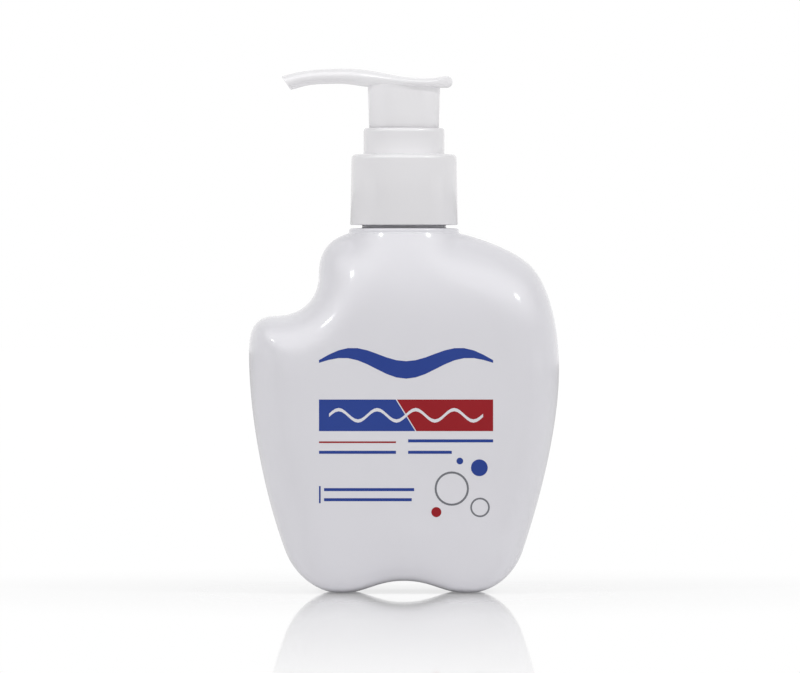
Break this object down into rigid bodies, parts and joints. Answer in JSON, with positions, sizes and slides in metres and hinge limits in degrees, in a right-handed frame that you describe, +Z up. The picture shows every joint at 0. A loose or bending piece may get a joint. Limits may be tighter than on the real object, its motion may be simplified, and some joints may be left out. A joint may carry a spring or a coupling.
{
  "type": "toothpaste pump dispenser",
  "caption": "Flat white bottle on two feet with a bitten upper corner, a screw-on lotion pump, a long curved spout and a plain printed front.",
  "frame": {"origin": "under the neck's axis, on the plane that the feet stand on", "axes": "+Z up along the neck's axis, -Y out of the printed front, the spout points to -X at rest"},
  "size_m": [0.093, 0.0464, 0.1567],
  "materials": {
    "bottle_plastic": "glossy white blow-moulded polyethylene",
    "pump_plastic": "glossy white moulded polypropylene",
    "clear_plastic": "natural translucent polypropylene",
    "seal_plastic": "soft natural polyethylene",
    "steel": "bright stainless steel",
    "blue_ink": "screen-printed blue ink",
    "red_ink": "screen-printed dark red ink",
    "grey_ink": "screen-printed grey ink"
  },
  "bodies": {
    "container": {"bottle": "bottle_plastic", "print_wave": "blue_ink", "print_band_blue": "blue_ink", "print_band_red": "red_ink", "print_rule_red": "red_ink", "print_line_left": "blue_ink", "print_line_right_upper": "blue_ink", "print_line_right_lower": "blue_ink", "print_mark_upright": "blue_ink", "print_line_foot_upper": "blue_ink", "print_line_foot_lower": "blue_ink", "print_bubble_large": "grey_ink", "print_bubble_small": "grey_ink", "print_bubble_blue": "blue_ink", "print_bubble_red": "red_ink", "print_bubble_dot": "blue_ink"},
    "pump_body": {"pump_cylinder": "clear_plastic", "guide_collar": "pump_plastic", "neck_gasket": "seal_plastic", "dip_tube": "clear_plastic"},
    "collar": {"screw_collar": "pump_plastic"},
    "coil": {"spring": "steel"},
    "plunger": {"pump_head": "pump_plastic", "stem": "clear_plastic", "valve_pin": "clear_plastic"},
    "seal": {"piston": "seal_plastic"},
    "ball": {"inlet_ball": "steel"}
  },
  "joints": [
    {"name": "pump_lift", "type": "slide", "parent": "container", "child": "pump_body", "axis": [0, 0, 1], "range_m": [0, 0.00634]},
    {"name": "collar_turn", "type": "hinge", "parent": "pump_body", "child": "collar", "pos_m": [0, 0, 0.12], "axis": [0, 0, 1], "range_deg": [0, 540]},
    {"name": "head_turn", "type": "hinge", "parent": "pump_body", "child": "coil", "pos_m": [0, 0, 0.1], "axis": [0, 0, 1], "continuous": true},
    {"name": "head_press", "type": "slide", "parent": "coil", "child": "plunger", "axis": [0, 0, -1], "range_m": [0, 0.011], "stiffness_N_per_m": 830, "springref_m": -0.009, "deforming": ["spring"]},
    {"name": "piston_slip", "type": "slide", "parent": "plunger", "child": "seal", "axis": [0, 0, 1], "range_m": [0, 0.0012]},
    {"name": "ball_lift", "type": "slide", "parent": "pump_body", "child": "ball", "axis": [0, 0, 1], "range_m": [0, 0.0018]}
  ],
  "couplings": [
    {"joint": "collar_turn", "follows": "pump_lift", "rad_per_m": 1485.4}
  ]
}
